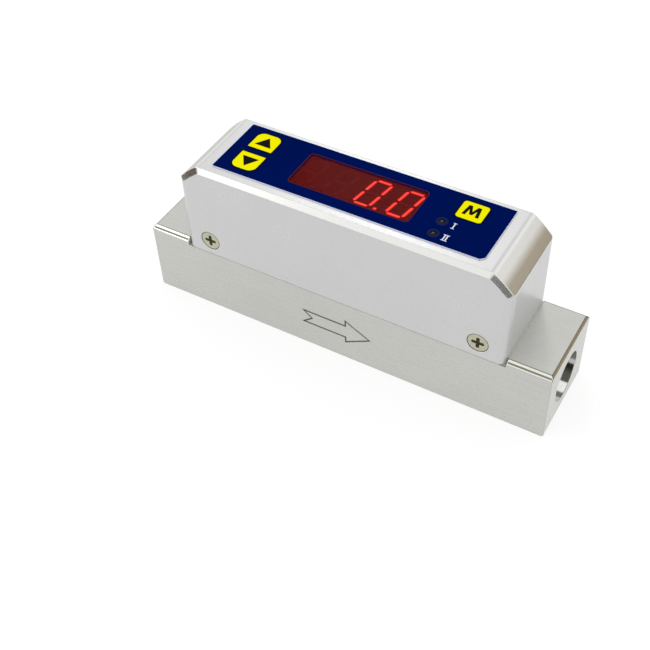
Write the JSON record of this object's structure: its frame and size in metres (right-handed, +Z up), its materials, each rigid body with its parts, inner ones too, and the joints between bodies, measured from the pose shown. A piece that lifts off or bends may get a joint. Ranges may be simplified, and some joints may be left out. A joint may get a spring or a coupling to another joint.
{
  "type": "gas mass flow meter",
  "caption": "In-line gas mass flow meter: a machined metal block with a threaded port in each end, under a sloped-end cover with a red digital display and yellow film keys.",
  "frame": {"origin": "centre of the block's underside", "axes": "+X along the gas flow, from the inlet to the outlet; +Y from the front to the back; +Z up, towards the display"},
  "size_m": [0.1, 0.021, 0.0415],
  "materials": {
    "machined_block": "fine milled, clear anodised",
    "blasted_cover": "bead blasted, clear anodised",
    "nickel_screws": "nickel plated",
    "printed_film": "satin film, printed navy blue with yellow keys",
    "red_filter": "clear dark red",
    "display_face": "near-black moulding",
    "lit_segments": "translucent red, lit",
    "lamp_lens": "dark clear, unlit",
    "black_moulding": "moulded black",
    "white_moulding": "moulded off-white",
    "circuit_board": "green solder mask",
    "brass_posts": "turned",
    "aluminium_cans": "drawn",
    "seal_rubber": "moulded",
    "chip_glass": "polished wafer",
    "steel_mesh": "satin",
    "spring_steel": "dark, oiled",
    "nickel_shell": "nickel plated",
    "gold_contacts": "gold plated",
    "key_stems": "moulded pale grey"
  },
  "bodies": {
    "meter": {"board_headers": "black_moulding", "board_screws": "nickel_screws", "board_standoffs": "brass_posts", "can_capacitors": "aluminium_cans", "controller_chip": "black_moulding", "cover": "blasted_cover", "cover_screws": "nickel_screws", "display_board": "circuit_board", "display_filter": "red_filter", "display_housing": "display_face", "display_segments": "lit_segments", "flow_body": "machined_block", "flow_conditioner": "steel_mesh", "indicator_lamp_1": "lamp_lens", "indicator_lamp_2": "lamp_lens", "lamp_collars": "black_moulding", "line_driver_chip": "black_moulding", "link_header": "black_moulding", "main_board": "circuit_board", "panel_film": "printed_film", "power_coil": "black_moulding", "retaining_ring": "spring_steel", "sensor_board": "circuit_board", "sensor_carrier": "white_moulding", "sensor_chip": "chip_glass", "sensor_header": "black_moulding", "sensor_screws": "nickel_screws", "sensor_seal": "seal_rubber", "socket_board": "circuit_board", "socket_contacts": "gold_contacts", "socket_insert": "black_moulding", "socket_nut": "nickel_shell", "socket_shell": "nickel_shell", "socket_wafer": "black_moulding", "switch_base_down": "black_moulding", "switch_base_mode": "black_moulding", "switch_base_up": "black_moulding"},
    "up_key": {"switch_stem_up": "key_stems"},
    "down_key": {"switch_stem_down": "key_stems"},
    "mode_key": {"switch_stem_mode": "key_stems"}
  },
  "joints": [
    {"name": "up_key_press", "type": "slide", "parent": "meter", "child": "up_key", "axis": [0, 0, -1], "range_m": [0, 0.00025], "stiffness_N_per_m": 6400},
    {"name": "down_key_press", "type": "slide", "parent": "meter", "child": "down_key", "axis": [0, 0, -1], "range_m": [0, 0.00025], "stiffness_N_per_m": 6400},
    {"name": "mode_key_press", "type": "slide", "parent": "meter", "child": "mode_key", "axis": [0, 0, -1], "range_m": [0, 0.00025], "stiffness_N_per_m": 6400}
  ]
}
